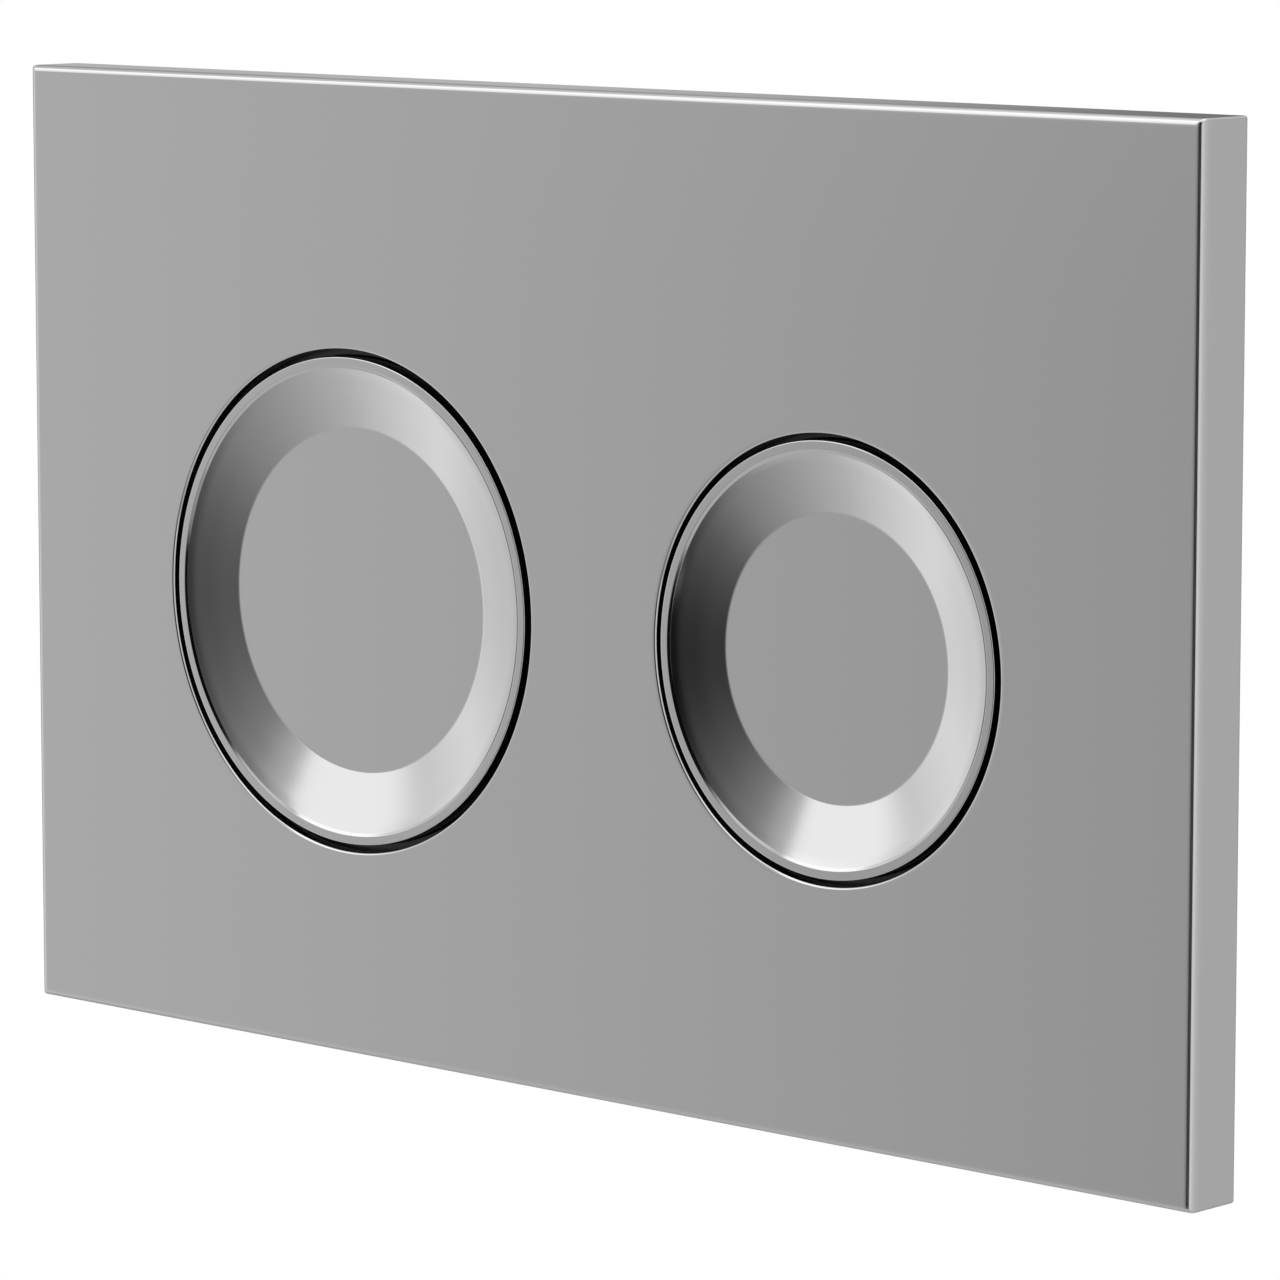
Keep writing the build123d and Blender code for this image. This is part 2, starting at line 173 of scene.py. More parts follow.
def makeMoulded(name, p):
    material, tree = newTree(name)
    patch = objectNoise(tree, moulded["patchMm"], moulded["patchDetail"])
    grain = objectNoise(tree, p["grainMm"], moulded["grainDetail"])
    dye = mixColours(tree, {mixFirst: linear(p["dark"]), mixSecond: linear(p["light"])}, {mixShare: patch})
    edge = addNode(tree, "ShaderNodeBevel", {"samples": moulded["edgeSamples"]},
                   {"Radius": moulded["edgeMm"] * mm})
    bump = addNode(tree, "ShaderNodeBump", None,
                   {"Strength": moulded["bump"], "Distance": p["depthMm"] * mm},
                   {"Height": grain, "Normal": edge.outputs["Normal"]})
    shader = addNode(tree, "ShaderNodeBsdfPrincipled", None, {"IOR": moulded["refraction"]},
                     {"Base Color": dye, "Normal": bump.outputs["Normal"],
                      "Roughness": varied(tree, grain, p["roughness"], moulded["spread"])})
    addNode(tree, "ShaderNodeOutputMaterial", links={"Surface": shader.outputs["BSDF"]})
    return material


# Steels: drawn spring wire and rolled strip show a fine mottle, zinc plate a coarser bluish one.
steelFinishes = {
    "springSteelDrawn": {"dark": "a9a9a6", "light": "c9c9c6", "roughness": 0.26, "patchMm": 0.5},
    "zincPlatedSteel": {"dark": "b4b8bc", "light": "cfd2d4", "roughness": 0.3, "patchMm": 1.2},
}
steel = {"detail": 4.0, "spread": 0.08}


def makeSteel(name, p):
    material, tree = newTree(name)
    mottle = objectNoise(tree, p["patchMm"], steel["detail"])
    tint = mixColours(tree, {mixFirst: linear(p["dark"]), mixSecond: linear(p["light"])}, {mixShare: mottle})
    shader = addNode(tree, "ShaderNodeBsdfPrincipled", None, {"Metallic": 1.0},
                     {"Base Color": tint,
                      "Roughness": varied(tree, mottle, p["roughness"], steel["spread"])})
    addNode(tree, "ShaderNodeOutputMaterial", links={"Surface": shader.outputs["BSDF"]})
    return material


finishes = {"satinChromeOnAbs": makeSatinChrome(satinChrome)}
finishes.update({name: makeMoulded(name, p) for name, p in mouldedFinishes.items()})
finishes.update({name: makeSteel(name, p) for name, p in steelFinishes.items()})
slotFinish = {
    "satin_chrome_plated": "satinChromeOnAbs",
    "black_acetal": "blackAcetalMoulded",
    "white_acetal": "whiteAcetalMoulded",
    "grey_acetal": "greyAcetalMoulded",
    "black_moulding": "blackAbsMoulded",
    "grey_moulding": "greyAbsMoulded",
    "soft_rubber": "blackRubberMoulded",
    "spring_steel": "springSteelDrawn",
    "zinc_steel": "zincPlatedSteel",
}
nodeSlot = {row["node"]: row["material_slot"] for row in frame["record"]["subparts"]}
# The solids get the finishes of their slots too.
for nodeName, solid in frame["nodes"].items():
    solid.data.materials.clear()
    solid.data.materials.append(finishes[slotFinish[nodeSlot[nodeName]]])
print("finishes:", len(finishes))


def roundCorners(outline, radii, steps):
    # an outline whose corners become arcs: each arc touches both legs at radius / tan(half the corner)
    # from the corner, and turns evenly from one touching point to the other about its middle
    outline = np.asarray(outline, float)
    t = np.linspace(0, 1, steps + 1)[:, None]
    parts = [outline[:1]]
    for before, here, after, radius in zip(outline[:-2], outline[1:-1], outline[2:], radii):
        if radius == 0:
            parts.append(here[None])
            continue
        a = (before - here) / np.linalg.norm(before - here)
        b = (after - here) / np.linalg.norm(after - here)
        half = math.acos(np.clip(a @ b, -1, 1)) / 2
        middle = here + (a + b) / np.linalg.norm(a + b) * radius / math.sin(half)
        reach = radius / math.tan(half)
        start = here + a * reach - middle
        end = here + b * reach - middle
        turn = math.pi - 2 * half
        parts.append(middle + (np.sin((1 - t) * turn) * start + np.sin(t * turn) * end) / math.sin(turn))
    parts.append(outline[-1:])
    return np.vstack(parts)


def easeCorners(rows, steps):
    # rows of (place, y, leg before, leg after): each corner becomes a cubic B-spline, whose first half is
    # corner + before * (1 - t + t^3 / 6) + after * t^3 / 6 and whose second half mirrors it, so that
    # the surface starts to turn slowly, as plated mouldings do
    rows = np.asarray(rows, float)
    points = rows[:, :2]
    t = np.linspace(0, 1, steps + 1)[:, None]
    near, far = 1 - t + t ** 3 / 6, t ** 3 / 6
    parts = [points[:1]]
    for before, here, after, legs in zip(points[:-2], points[1:-1], points[2:], rows[1:-1, 2:]):
        if not legs.any():
            parts.append(here[None])
            continue
        a = (before - here) / np.linalg.norm(before - here) * legs[0]
        b = (after - here) / np.linalg.norm(after - here) * legs[1]
        parts.append(here + a * near + b * far)
        parts.append((here + b * near + a * far)[-2::-1])
    parts.append(points[-1:])
    return np.vstack(parts)


def evenAngles(count):
    return np.linspace(0, 2 * np.pi, count, endpoint=False)


def ringLoops(radius, y, x, z):
    # one ring per row about a line along Y: x0 + radius * cos(angle), y, z0 + radius * sin(angle)
    angle = evenAngles(radius.shape[1])
    y = np.broadcast_to(y, radius.shape)
    return np.stack([x + radius * np.cos(angle), y, z + radius * np.sin(angle)], -1)


def turnedLoops(profile, x, z, count):
    # a (radius, y) outline turned about a line along Y, with count points in each ring
    profile = np.asarray(profile, float)
    return ringLoops(np.repeat(profile[:, :1], count, axis=1), profile[:, 1:], x, z)


def boxLoops(centre, half, profile, corner, steps):
    # a (inset, y) outline carried round a rectangle in X and Z with round corners: the middle of each
    # corner's arc lies at half size - inset - corner radius
    profile = np.asarray(profile, float)
    corner = np.broadcast_to(corner, len(profile))[:, None, None]
    signs = np.array([[1, 1], [-1, 1], [-1, -1], [1, -1]], float)
    angle = np.pi / 2 * np.arange(4)[:, None] + np.linspace(0, np.pi / 2, steps + 1)
    middle = signs * (np.asarray(half, float) - profile[:, None, :1] - corner)
    across = middle[:, :, None] + corner[..., None] * np.stack([np.cos(angle), np.sin(angle)], -1)
    across = across.reshape(len(profile), -1, 2)
    loops = np.empty(across.shape[:2] + (3,))
    loops[..., 0] = centre[0] + across[..., 0]
    loops[..., 1] = profile[:, 1:2]
    loops[..., 2] = centre[1] + across[..., 1]
    return loops


def skin(loops, capStart=False, capEnd=False):
    # closed loops of one length joined by quads, each point to the next round and to the next loop,
    # with a face over the first or the last loop where asked for
    rows, count = loops.shape[:2]
    row = np.arange(rows - 1)[:, None] * count
    here = np.arange(count)
    after = (here + 1) % count
    quads = np.stack([row + here, row + after, row + count + after, row + count + here], -1)
    caps = [here[::-1]] if capStart else []
    if capEnd:
        caps.append(here + (rows - 1) * count)
    return loops.reshape(-1, 3), quads.reshape(-1, 4), caps


def buttonTurned(profile, body, count):
    return skin(turnedLoops(profile, shared["buttonX"][body], shared["buttonZ"], count))


def barShell(outline, x, half):
    # a (y, z) outline drawn out along X from x - half to x + half
    outline = np.asarray(outline, float)
    loops = np.empty((2, len(outline), 3))
    loops[..., 0] = x + np.array([[-half], [half]])
    loops[..., 1:] = outline
    return skin(loops, True, True)


def ringSection(inner, outer, y, rounds, steps):
    # a closed (radius, y) outline that starts in the middle of its front
    middle = (inner + outer) / 2
    corners = [(middle, y[0]), (outer, y[0]), (outer, y[1]), (inner, y[1]), (inner, y[0]), (middle, y[0])]
    return roundCorners(corners, rounds, steps)


# How the pieces' meshes are closed and shaded.
meshing = {
    "mergeMm": 0.002,  # points closer than this are one
    "flatMm": 0.001,  # how far from its plane the rim of a flat opening may lie
    "sharpDegrees": 35,
    "flatWeight": 90,  # how much more large faces count for the shading than small ones
}


def inPlane(edge, level):
    return max(abs(v.co.y / mm - level) for v in edge.verts) < meshing["flatMm"]


def makePiece(name, shells, body, node, flatAt=(), evenShading=True):
    # all shells in one mesh: doubles are merged, openings that lie in a plane y = flatAt are filled
    # and faces are turned outwards
    points, faces, start = [], [], 0
    for shellPoints, shellFaces, caps in shells:
        points.append(shellPoints * mm)
        faces += (shellFaces + start).tolist()
        faces += [(cap + start).tolist() for cap in caps]
        start += len(shellPoints)
    mesh = bpy.data.meshes.new(name)
    mesh.from_pydata(np.vstack(points), [], faces)
    bm = bmesh.new()
    bm.from_mesh(mesh)
    bmesh.ops.remove_doubles(bm, verts=bm.verts, dist=meshing["mergeMm"] * mm)
    for level in flatAt:
        rim = [e for e in bm.edges if e.is_boundary and inPlane(e, level)]
        bmesh.ops.triangle_fill(bm, use_beauty=True, edges=rim, normal=(0, -1, 0))
    bmesh.ops.recalc_face_normals(bm, faces=bm.faces)
    bm.to_mesh(mesh)
    bm.free()
    return placePiece(name, mesh, body, node, evenShading)


def placePiece(name, mesh, body, node, evenShading):
    # smooth shading with only the edges over the sharp angle left sharp, the finish of the node's slot,
    # and what the piece rides on and replaces
    mesh.polygons.foreach_set("use_smooth", np.ones(len(mesh.polygons), bool))
    mesh.set_sharp_from_angle(angle=math.radians(meshing["sharpDegrees"]))
    mesh.materials.append(finishes[slotFinish[nodeSlot[node]]])
    piece = bpy.data.objects.new(name, mesh)
    bpy.context.scene.collection.objects.link(piece)
    if evenShading:
        # flat faces keep their own direction right up to the rounds beside them
        shade = piece.modifiers.new("evenShading", "WEIGHTED_NORMAL")
        shade.keep_sharp = True
        shade.weight = meshing["flatWeight"]
    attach(piece, body)
    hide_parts(node)
    return piece


def mergedCopy(name, node, body):
    # the solid's own loose triangles as one shell, smooth on round walls and sharp at edges
    solid = frame["nodes"][node].data
    points = np.empty(len(solid.vertices) * 3)
    corners = np.empty(len(solid.loops), np.int32)
    solid.vertices.foreach_get("co", points)
    solid.loops.foreach_get("vertex_index", corners)
    shell = points.reshape(-1, 3) / mm, corners.reshape(-1, 3), []
    return makePiece(name, [shell], body, node, evenShading=False)


# Face plate: the edge profile runs from the front over the round edge, down the side, round the back
# rim and up inside, and is carried round the rectangle; two turned mouths; ribs, bosses and ridges inside.
facePlate = {
    "half": (125.0, 80.0),
    "wall": 2.2,
    "frontEase": (1.5, 2.1),  # how far the front edge's round reaches over the face and down the side
    "frontStrip": 0.3,  # flat strip of the face beside that round
    "backEase": 0.4,
    "rimEase": 0.3,
    "insideEase": 0.7,
    "insideReach": 0.9,  # how far the profile runs over the back of the front wall
    "edgeSteps": 12,
    "cornerRound": 0.45,
    "insideCorner": 1.0,
    "cornerSteps": 8,
    "holeR": {"full_flush": 41.25, "half_flush": 34.7},
    "holeRing": 1.0,  # flat ring round each mouth
    "holeRounds": (0.45, 0.2),  # at the front and inside
    "holeSteps": 8,
    "holeCount": 320,
    "sink": 0.3,  # how far ribs and bosses reach into the front wall
    "ribHeight": 1.9,
    "ribHalf": 0.6,
    "ribLean": 0.08,
    "ribRound": 0.25,
    "ribCorner": 0.3,
    "ribSteps": 3,
    "bossR": 3.5,
    "bossHeight": 4.0,
    "bossBoreR": 1.3,
    "bossBoreEnd": -9.0,
    "bossRounds": (0.2, 0.2, 0),
    "bossSteps": 3,
    "bossCount": 40,
    "ridgeX": 69.0,
    "ridgeHalf": 9.0,
    "ridgeHeight": 0.9,
    "ridgeSink": 0.2,
    "ridgeY": (-2.6, -0.2),
}


def ribShell(p, x0, x1, z0, z1):
    # a rib whose sides lean in a little and whose top edge is rounded
    low, high = shared["inside"] - p["sink"], shared["inside"] + p["ribHeight"]
    profile = roundCorners([(0, low), (p["ribLean"], high), (p["ribHalf"], high)],
                           [p["ribRound"]], p["ribSteps"])
    centre = ((x0 + x1) / 2, (z0 + z1) / 2)
    half = ((x1 - x0) / 2, (z1 - z0) / 2)
    return skin(boxLoops(centre, half, profile[:-1], p["ribCorner"], p["ribSteps"]), capEnd=True)


def makeFacePlate(p):
    front, inside, wall = shared["front"], shared["inside"], p["wall"]
    onFace, onSide = p["frontEase"]
    edge = easeCorners([
        (onFace + p["frontStrip"], front, 0, 0),
        (0, front, onFace, onSide),
        (0, 0, p["backEase"], p["backEase"]),
        (wall, 0, p["rimEase"], p["rimEase"]),
        (wall, inside, p["insideEase"], p["insideEase"]),
        (wall + p["insideReach"], inside, 0, 0)], p["edgeSteps"])
    within = (edge[:, 0] > wall / 2) & (edge[:, 1] > front + wall / 2)
    corner = np.where(within, p["insideCorner"], p["cornerRound"])
    shells = [skin(boxLoops((0, 0), p["half"], edge, corner, p["cornerSteps"]))]
    for body, holeR in p["holeR"].items():
        ringR = holeR + p["holeRing"]
        mouth = roundCorners([(ringR, front), (holeR, front), (holeR, inside), (ringR, inside)],
                             p["holeRounds"], p["holeSteps"])
        shells.append(buttonTurned(mouth, body, p["holeCount"]))
    left, middle, right = shared["bossColumns"]
    low, high = shared["bossRows"]
    endX, endZ, r = p["half"][0] - wall, p["half"][1] - wall, p["ribHalf"]
    ribs = []
    for z in (low, high):
        ribs += [(-endX, left, z - r, z + r), (right, endX, z - r, z + r)]
    for x in (left, middle, right):
        ribs += [(x - r, x + r, high, endZ), (x - r, x + r, -endZ, low)]
    ribs.append((middle - r, middle + r, low, high))
    shells += [ribShell(p, *sides) for sides in ribs]
    top = inside + p["bossHeight"]
    boss = roundCorners([(p["bossR"], inside - p["sink"]), (p["bossR"], top), (p["bossBoreR"], top),
                         (p["bossBoreR"], p["bossBoreEnd"]), (0, p["bossBoreEnd"])],
                        p["bossRounds"], p["bossSteps"])
    shells += [skin(turnedLoops(boss, x, z, p["bossCount"])) for x, z in bosses]
    y0, y1 = p["ridgeY"]
    for sign in (1, -1):
        foot, crest = sign * (endZ + p["ridgeSink"]), sign * (endZ - p["ridgeHeight"])
        flank = [(y0, foot), (y0 + p["ridgeHeight"], crest), (y1 - p["ridgeHeight"] / 2, crest), (y1, foot)]
        shells += [barShell(flank, x, p["ridgeHalf"]) for x in (-p["ridgeX"], p["ridgeX"])]
    return makePiece("facePlateShell", shells, "plate", "face_plate", flatAt=(front, inside))


makeFacePlate(facePlate)
print("face plate made")

# Button caps: a turned profile of flat disc, shallow hollow dish, lip and flat rim, and four snap hooks.
buttonCap = {
    "capR": {"full_flush": 40.0, "half_flush": 33.7},
    "discR": {"full_flush": 28.3, "half_flush": 22.45},
    "dishDepth": 2.75,
    "dishSag": 0.03,
    "bendIn": 1.2,  # where the dish starts to steepen, inside its edge
    "bendSag": 0.05,
    "rimWidth": 1.4,
    "lipDrop": 0.25,
    "lipRun": 0.46,
    "wall": 1.8,
    "skirtEnd": -5.6,
    "ease": {  # how far the round of each corner reaches before and after it
        "none": (0, 0), "disc": (0.3, 0.3), "dish": (2.4, 2.4), "bend": (1.4, 0.85), "lip": (0.08, 0.08),
        "rim": (0.1, 0.1), "edge": (0.3, 0.3), "skirt": (0.4, 0.4), "inside": (0.5, 0.5)},
    "easeSteps": 6,
    "count": 320,
    "hookInset": 6.0,
    "hookThickness": 1.8,
    "hookWidth": 7.0,
    "hookCatch": 0.8,
    "catchY": -3.5,
    "noseY": -1.4,
}


def hookShell(outline, x, angle, width):
    # a (radius, y) outline stood on both sides of a radius that is turned by angle about the button
    outline = np.asarray(outline, float)
    side = np.array([-width / 2, width / 2])[:, None]
    loops = np.empty((2, len(outline), 3))
    loops[..., 0] = x + outline[:, 0] * math.cos(angle) - side * math.sin(angle)
    loops[..., 1] = outline[:, 1]
    loops[..., 2] = shared["buttonZ"] + outline[:, 0] * math.sin(angle) + side * math.cos(angle)
    return skin(loops, True, True)


def makeButtonCap(body, p):
    capR, discR = p["capR"][body], p["discR"][body]
    front, discY = shared["front"], shared["front"] + p["dishDepth"]
    rimR = capR - p["rimWidth"]
    dishR, dishY = rimR - p["lipRun"], front + p["lipDrop"]
    slope = (discY - dishY) / (dishR - discR)
    bendR, bendY = dishR - p["bendIn"], dishY + slope * p["bendIn"] + p["bendSag"]
    middle, middleY = (discR + bendR) / 2, (discY + bendY) / 2 + p["dishSag"]
    innerR, wall, ease = capR - p["wall"], p["wall"], p["ease"]
    face = [
        (0, discY, *ease["none"]), (discR, discY, *ease["disc"]), (middle, middleY, *ease["dish"]),
        (bendR, bendY, *ease["bend"]), (dishR, dishY, *ease["lip"]), (rimR, front, *ease["rim"]),
        (capR, front, *ease["edge"]), (capR, p["skirtEnd"], *ease["skirt"]),
        (innerR, p["skirtEnd"], *ease["skirt"]), (innerR, dishY + wall, *ease["inside"]),
        (discR, discY + wall, *ease["none"]), (0, discY + wall, *ease["none"])]
    shells = [buttonTurned(easeCorners(face, p["easeSteps"]), body, p["count"])]
    hookR = capR - p["hookInset"]
    inner, outer = hookR - p["hookThickness"] / 2, hookR + p["hookThickness"] / 2
    rootY = dishY + slope * (dishR - hookR) + wall / 2
    hook = [(inner, rootY), (outer, rootY), (outer, p["catchY"]), (outer + p["hookCatch"], p["catchY"]),
            (outer, p["noseY"]), (inner, p["noseY"])]
    for quarter in range(4):
        angle = math.pi / 4 + quarter * math.pi / 2
        shells.append(hookShell(hook, shared["buttonX"][body], angle, p["hookWidth"]))
    return makePiece(body + "ButtonCap", shells, body, body + "_button", evenShading=False)


for body in shared["buttonX"]:
    makeButtonCap(body, buttonCap)
print("button caps made")

# Return springs: a round wire along a helix whose pitch closes up over the last turn at each end.
returnSpring = {
    "turns": 6.5,
    "meanR": 9.0,
    "wireR": 0.6,
    "opening": 0.15,  # share of the wire over which the pitch opens at each end
    "closed": 0.6,  # closed length before that, against the opening
    "closedPitch": 0.12,  # pitch there, against the rise to the open one
    "steps": 420,
    "sides": 14,
}


def makeSpring(body, p):
    # pitch rises smoothly from its closed to its open value and back; height is its running sum; the
    # wire's round section stands on the radius and on the line that lies square to it and to the helix
    x, z = shared["buttonX"][body], shared["buttonZ"]
    u = np.linspace(0, 1, p["steps"])
    angle = 2 * np.pi * p["turns"] * u
    ease = np.clip(np.minimum(u, 1 - u) / p["opening"] - p["closed"], 0, 1)
    pitch = p["closedPitch"] + ease * ease * (3 - 2 * ease)
    height = np.concatenate([[0], np.cumsum((pitch[1:] + pitch[:-1]) / 2)])
    low, high = shared["plungerFloor"] + p["wireR"], shared["guideFront"] - p["wireR"]
    y = low + (high - low) * height / height[-1]
    out = np.stack([np.cos(angle), 0 * angle, np.sin(angle)], -1)
    path = np.stack([x + p["meanR"] * out[:, 0], y, z + p["meanR"] * out[:, 2]], -1)
    along = np.gradient(path, axis=0)
    along /= np.linalg.norm(along, axis=1)[:, None]
    square = np.cross(along, out)
    around = evenAngles(p["sides"])[:, None]
    loops = path[:, None] + p["wireR"] * (np.cos(around) * out[:, None] + np.sin(around) * square[:, None])
    shell = skin(loops, True, True)
    spring = makePiece(body + "ReturnSpring", [shell], "plate", body + "_spring", evenShading=False)
    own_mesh(spring)
    return spring


# Threads: a trapezoid groove along a helix, with radius = crest - depth * groove(phase).
thread = {
    "crest": 0.3,  # half-width of the crest, against half a pitch
    "flank": 0.35,  # width of each flank, against half a pitch
    "endDrop": 0.3,  # how far the ends are bevelled below the groove's floor
}


def threadLoops(p, x, z):
    # phase is the height less one pitch for each turn; the groove opens over the flanks, and both ends
    # of the rod run out in a 45 degree bevel
    rows = int((p["end"] - p["start"]) / p["pitch"] * p["stepsPerPitch"])
    y = np.linspace(p["start"], p["end"], rows)[:, None]
    phase = np.mod(y / p["pitch"] - evenAngles(p["count"]) / (2 * np.pi), 1)
    groove = np.clip((np.abs(2 * phase - 1) - thread["crest"]) / thread["flank"], 0, 1)
    bevel = p["r"] - p["depth"] - thread["endDrop"] + np.minimum(y - p["start"], p["end"] - y)
    return ringLoops(np.minimum(p["r"] - p["depth"] * groove, bevel), y, x, z)


# Push rods: screwed acetal rods, threaded from end to end.
pushRod = {
    "r": 4.0,
    "pitch": 1.5,
    "depth": 0.6,
    "start": 10.0,
    "end": 60.0,
    "count": 40,
    "stepsPerPitch": 12,
}


def makePushRod(body, p):
    loops = threadLoops(p, shared["buttonX"][body], shared["buttonZ"])
    shell = skin(loops, True, True)
    return makePiece(body + "PushRod", [shell], body, body + "_push_rod", evenShading=False)


# Lock nuts: a hexagon 13 mm across flats, its corners turned off at 30 degrees, with a bevelled bore.
lockNut = {
    "flats": 13.0,
    "front": 30.0,
    "back": 35.0,
    "boreR": 4.05,
    "boreBevel": 0.5,
    "faceR": 6.2,
    "slope": 0.577,
    "count": 144,
}


def makeLockNut(body, p):
    # the hexagon's radius is half the flats / cos(angle from the nearest flat); the turned bevel lies
    # slope * (radius - face radius) behind each face
    hexR = p["flats"] / 2 / np.cos(np.mod(evenAngles(p["count"]), np.pi / 3) - np.pi / 6)
    turned = p["slope"] * (hexR - p["faceR"])
    front, back, bore, cut = p["front"], p["back"], p["boreR"], p["boreBevel"]
    rows = [(bore, back - cut), (bore, front + cut), (bore + cut, front), (p["faceR"], front),
            (hexR, front + turned), (hexR, back - turned), (p["faceR"], back), (bore + cut, back),
            (bore, back - cut)]
    radius = np.stack([np.broadcast_to(r, hexR.shape) for r, y in rows])
    height = np.stack([np.broadcast_to(y, hexR.shape) for r, y in rows])
    loops = ringLoops(radius, height, shared["buttonX"][body], shared["buttonZ"])
    return makePiece(body + "LockNut", [skin(loops)], body, body + "_lock_nut")


# Rod tips: soft caps over the rod's end, rounded, with two shallow grooves for grip.
rodTip = {
    "r": 6.0,
    "start": 52.0,
    "end": 64.0,
    "endRound": 2.4,
    "boreR": 4.05,
    "boreEnd": 60.0,
    "mouthRounds": (0.2, 0.5),  # of the bore and of the outside
    "grooves": (54.4, 56.6),
    "grooveHalf": 0.5,
    "grooveDepth": 0.35,
    "grooveRound": 0.2,
    "steps": 8,
    "count": 72,
}


def makeRodTip(body, p):
    r, half = p["r"], p["grooveHalf"]
    outline = [(0, p["boreEnd"]), (p["boreR"], p["boreEnd"]), (p["boreR"], p["start"]), (r, p["start"])]
    radii = [0, *p["mouthRounds"]]
    for y in p["grooves"]:
        outline += [(r, y - half), (r - p["grooveDepth"], y), (r, y + half)]
        radii += [p["grooveRound"]] * 3
    outline += [(r, p["end"]), (0, p["end"])]
    radii.append(p["endRound"])
    profile = roundCorners(outline, radii, p["steps"])
    return makePiece(body + "RodTip", [buttonTurned(profile, body, p["count"])], body, body + "_rod_tip")


# Stop rings: soft rings of nearly square section with rounded edges.
stopRing = {
    "outerR": {"full_flush": 43.15, "half_flush": 36.6},
    "width": 1.5,
    "y": (-8.1, -7.1),
    "rounds": (0.3, 0.3, 0.3, 0.3),
    "steps": 4,
    "count": 160,
}


def makeStopRing(body, p):
    outer = p["outerR"][body]
    section = ringSection(outer - p["width"], outer, p["y"], p["rounds"], p["steps"])
    return makePiece(body + "StopRing", [buttonTurned(section, body, p["count"])], body, body + "_stop_ring")


for body in shared["buttonX"]:
    makeSpring(body, returnSpring)
    makePushRod(body, pushRod)
    makeLockNut(body, lockNut)
    makeRodTip(body, rodTip)
    makeStopRing(body, stopRing)
    mergedCopy(body + "PlungerCup", body + "_plunger", body)
print("moving pieces made")

recessFloor = 0.8  # size of a cross recess at its floor, against its mouth


def crossRecess(p, x, z, bottom):
    # a plus outline of twelve corners, sunk from the top to the bottom with walls that lean in a little
    a, b = p["span"] / 2, p["width"] / 2
    plus = np.array([(a, b), (b, b), (b, a), (-b, a), (-b, b), (-a, b),
                     (-a, -b), (-b, -b), (-b, -a), (b, -a), (b, -b), (a, -b)])
    lean = np.array([[1.0], [recessFloor]])
    loops = np.empty((2, len(plus), 3))
    loops[..., 0] = x + plus[:, 0] * lean
    loops[..., 1] = np.array([[p["top"]], [bottom]])
    loops[..., 2] = z + plus[:, 1] * lean
    return skin(loops, capEnd=True)


# Carrier screws: self-tapping pan-head screws with a cross recess, heads towards the wall.
carrierScrew = {
    "headR": 2.9,
    "seat": -2.1,
    "top": 0.0,
    "headEdge": 0.2,  # where the head's outside starts to turn into its top
    "flatR": 2.05,  # flat part of the top
    "shankR": 1.25,
    "tip": -8.5,
    "pointIn": 0.4,
    "pointLength": 0.8,
    "rounds": (0, 0, 0.1, 0.15, 0.8),
    "steps": 6,
    "count": 48,
    "span": 3.2,
    "width": 0.87,
    "deep": 1.2,
}


def makeCarrierScrews(p):
    profile = roundCorners([
        (0, p["tip"]), (p["shankR"] - p["pointIn"], p["tip"]), (p["shankR"], p["tip"] + p["pointLength"]),
        (p["shankR"], p["seat"]), (p["headR"], p["seat"]), (p["headR"], p["top"] - p["headEdge"]),
        (p["flatR"], p["top"])], p["rounds"], p["steps"])
    shells = []
    for x, z in bosses:
        shells.append(skin(turnedLoops(profile, x, z, p["count"])))
        shells.append(crossRecess(p, x, z, p["top"] - p["deep"]))
    return makePiece("carrierTappingScrews", shells, "plate", "carrier_screws", flatAt=(p["top"],))


# Frame screws: M6 with a narrow neck under the head, so that they hang in the frame before it is fixed.
frameScrew = {
    "headR": 5.75,
    "seat": -4.0,
    "top": -7.2,
    "flatR": 4.4,
    "neckR": 2.6,
    "neckLap": 0.2,  # how far the neck reaches into the thread
    "rounds": (0.15, 0.2, 0.9),
    "steps": 6,
    "span": 5.75,
    "width": 1.44,
    "deep": 1.6,
    "r": 3.0,
    "pitch": 1.0,
    "depth": 0.5,
    "start": 0.0,
    "end": 12.5,
    "count": 48,
    "stepsPerPitch": 10,
}


def makeFrameScrews(p):
    profile = roundCorners([
        (p["neckR"], p["start"] + p["neckLap"]), (p["neckR"], p["seat"]), (p["headR"], p["seat"]),
        (p["headR"], p["top"]), (p["flatR"], p["top"])], p["rounds"], p["steps"])
    shells = []
    for x, z in frameHoles:
        shells.append(skin(threadLoops(p, x, z), True, True))
        shells.append(skin(turnedLoops(profile, x, z, p["count"]), capStart=True))
        shells.append(crossRecess(p, x, z, p["top"] + p["deep"]))
    return makePiece("frameScrewsM6", shells, "plate", "frame_screws", flatAt=(p["top"],))


# Frame washers: stamped rings with one edge rounded by the punch.
frameWasher = {
    "outerR": 6.5,
    "innerR": 3.2,
    "y": (-4.0, -3.0),
    "rounds": (0.2, 0.05, 0.05, 0.2),
    "steps": 4,
    "count": 64,
}


def makeFrameWashers(p):
    section = ringSection(p["innerR"], p["outerR"], p["y"], p["rounds"], p["steps"])
    shells = [skin(turnedLoops(section, x, z, p["count"])) for x, z in frameHoles]
    return makePiece("frameWashersM6", shells, "plate", "frame_washers")


# Plate clips: spring strip bent over the frame's rim, with a bulge that snaps behind the plate's ridge.
plateClip = {
    "x": 69.0,
    "half": 6.0,
    "sheet": 0.5,
    "front": -6.0,
    "inZ": 73.75,
    "outZ": 76.25,
    "bulgeZ": 77.2,
    "insideLeg": 2.6,
    "lead": 1.0,
    "rise": 1.2,
    "fall": 1.4,
    "bends": (0.5, 0.5, 0.5, 0.5),
    "steps": 6,
}


